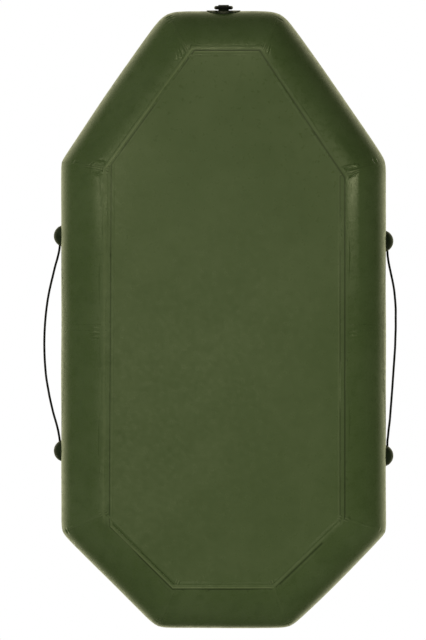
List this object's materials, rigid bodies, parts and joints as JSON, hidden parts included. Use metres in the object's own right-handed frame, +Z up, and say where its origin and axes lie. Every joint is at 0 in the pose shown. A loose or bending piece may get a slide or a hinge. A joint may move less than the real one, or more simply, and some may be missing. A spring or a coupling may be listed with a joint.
{
  "type": "inflatable boat",
  "caption": "Small inflatable rowing boat: an eight-sided ring of air tubes round a flat floor, with a sliding seat, rowlocks, valves, grab lines and a bow tow ring.",
  "frame": {"origin": "under the middle of the boat, on the surface it lies on", "axes": "+X starboard, +Y towards the bow, +Z up"},
  "size_m": [1.0888, 1.9197, 0.3711],
  "materials": {
    "hull_fabric": "satin coated fabric, fine calendered grain",
    "floor_fabric": "satin coated fabric",
    "seam_tape": "satin coated fabric tape, glued",
    "bulkhead_fabric": "matt coated fabric",
    "moulded_fitting": "moulded dark green PVC, satin",
    "rope": "braided black polypropylene cord",
    "black_plastic": "moulded glass-filled nylon, fine texture",
    "poppet_plastic": "moulded acetal",
    "seal_rubber": "soft nitrile rubber",
    "stainless": "brushed stainless steel",
    "plywood": "varnished birch plywood",
    "slider_plastic": "extruded nylon"
  },
  "bodies": {
    "hull": {"bow_tube": "hull_fabric", "starboard_bow_tube": "hull_fabric", "starboard_fore_tube": "hull_fabric", "starboard_aft_tube": "hull_fabric", "starboard_stern_tube": "hull_fabric", "stern_tube": "hull_fabric", "port_stern_tube": "hull_fabric", "port_aft_tube": "hull_fabric", "port_fore_tube": "hull_fabric", "port_bow_tube": "hull_fabric", "starboard_bulkhead": "bulkhead_fabric", "port_bulkhead": "bulkhead_fabric", "floor_panel": "floor_fabric", "floor_seam_tape": "seam_tape", "corner_seam_tapes": "seam_tape", "chamber_seam_tapes": "seam_tape", "starboard_fore_rope_holder": "moulded_fitting", "starboard_aft_rope_holder": "moulded_fitting", "port_fore_rope_holder": "moulded_fitting", "port_aft_rope_holder": "moulded_fitting", "starboard_grab_line": "rope", "port_grab_line": "rope", "starboard_rope_knots": "rope", "port_rope_knots": "rope", "bow_eye": "moulded_fitting", "starboard_rowlock_patch": "seam_tape", "starboard_rowlock_base": "moulded_fitting", "starboard_rowlock_keeper": "stainless", "port_rowlock_patch": "seam_tape", "port_rowlock_base": "moulded_fitting", "port_rowlock_keeper": "stainless", "starboard_seat_track": "moulded_fitting", "port_seat_track": "moulded_fitting", "bow_valve_patch": "moulded_fitting", "bow_valve_body": "black_plastic", "bow_valve_nut": "black_plastic", "bow_valve_spring": "stainless", "stern_valve_patch": "moulded_fitting", "stern_valve_body": "black_plastic", "stern_valve_nut": "black_plastic", "stern_valve_spring": "stainless"},
    "tow_ring": {"tow_ring": "black_plastic"},
    "starboard_rowlock": {"starboard_rowlock": "moulded_fitting"},
    "port_rowlock": {"port_rowlock": "moulded_fitting"},
    "seat": {"starboard_seat_slider": "slider_plastic", "port_seat_slider": "slider_plastic", "seat_board": "plywood", "seat_bolts": "stainless", "seat_nuts": "stainless"},
    "bow_poppet": {"bow_valve_poppet": "poppet_plastic", "bow_valve_poppet_seal": "seal_rubber"},
    "bow_cap_strap": {"bow_valve_tether": "black_plastic"},
    "bow_cap": {"bow_valve_cap": "black_plastic", "bow_valve_cap_seal": "seal_rubber"},
    "stern_poppet": {"stern_valve_poppet": "poppet_plastic", "stern_valve_poppet_seal": "seal_rubber"},
    "stern_cap_strap": {"stern_valve_tether": "black_plastic"},
    "stern_cap": {"stern_valve_cap": "black_plastic", "stern_valve_cap_seal": "seal_rubber"}
  },
  "joints": [
    {"name": "tow_ring_swing", "type": "hinge", "parent": "hull", "child": "tow_ring", "pos_m": [0, 0.9505, 0.1318], "axis": [1, 0, 0], "range_deg": [-8, 188]},
    {"name": "starboard_rowlock_swivel", "type": "hinge", "parent": "hull", "child": "starboard_rowlock", "pos_m": [0.37, -0.12, 0.3], "axis": [0, 0, 1], "continuous": true},
    {"name": "port_rowlock_swivel", "type": "hinge", "parent": "hull", "child": "port_rowlock", "pos_m": [-0.37, -0.12, 0.3], "axis": [0, 0, 1], "continuous": true},
    {"name": "seat_slide", "type": "slide", "parent": "hull", "child": "seat", "axis": [0, 1, 0], "range_m": [-0.39, 0.095]},
    {"name": "bow_poppet_press", "type": "slide", "parent": "hull", "child": "bow_poppet", "axis": [0, -0.6428, 0.766], "range_m": [-0.005, 0], "stiffness_N_per_m": 300, "springref_m": 0.004, "deforming": ["bow_valve_spring"]},
    {"name": "bow_cap_lift", "type": "slide", "parent": "hull", "child": "bow_cap_strap", "axis": [0, -0.6428, 0.766], "range_m": [0, 0.045], "deforming": ["bow_valve_tether"]},
    {"name": "bow_cap_turn", "type": "hinge", "parent": "bow_cap_strap", "child": "bow_cap", "pos_m": [0, 0.71922, 0.24058], "axis": [0, -0.6428, 0.766], "range_deg": [0, 360]},
    {"name": "stern_poppet_press", "type": "slide", "parent": "hull", "child": "stern_poppet", "axis": [0, 0.6428, 0.766], "range_m": [-0.005, 0], "stiffness_N_per_m": 300, "springref_m": 0.004, "deforming": ["stern_valve_spring"]},
    {"name": "stern_cap_lift", "type": "slide", "parent": "hull", "child": "stern_cap_strap", "axis": [0, 0.6428, 0.766], "range_m": [0, 0.045], "deforming": ["stern_valve_tether"]},
    {"name": "stern_cap_turn", "type": "hinge", "parent": "stern_cap_strap", "child": "stern_cap", "pos_m": [0, -0.73822, 0.24058], "axis": [0, 0.6428, 0.766], "range_deg": [0, 360]}
  ]
}
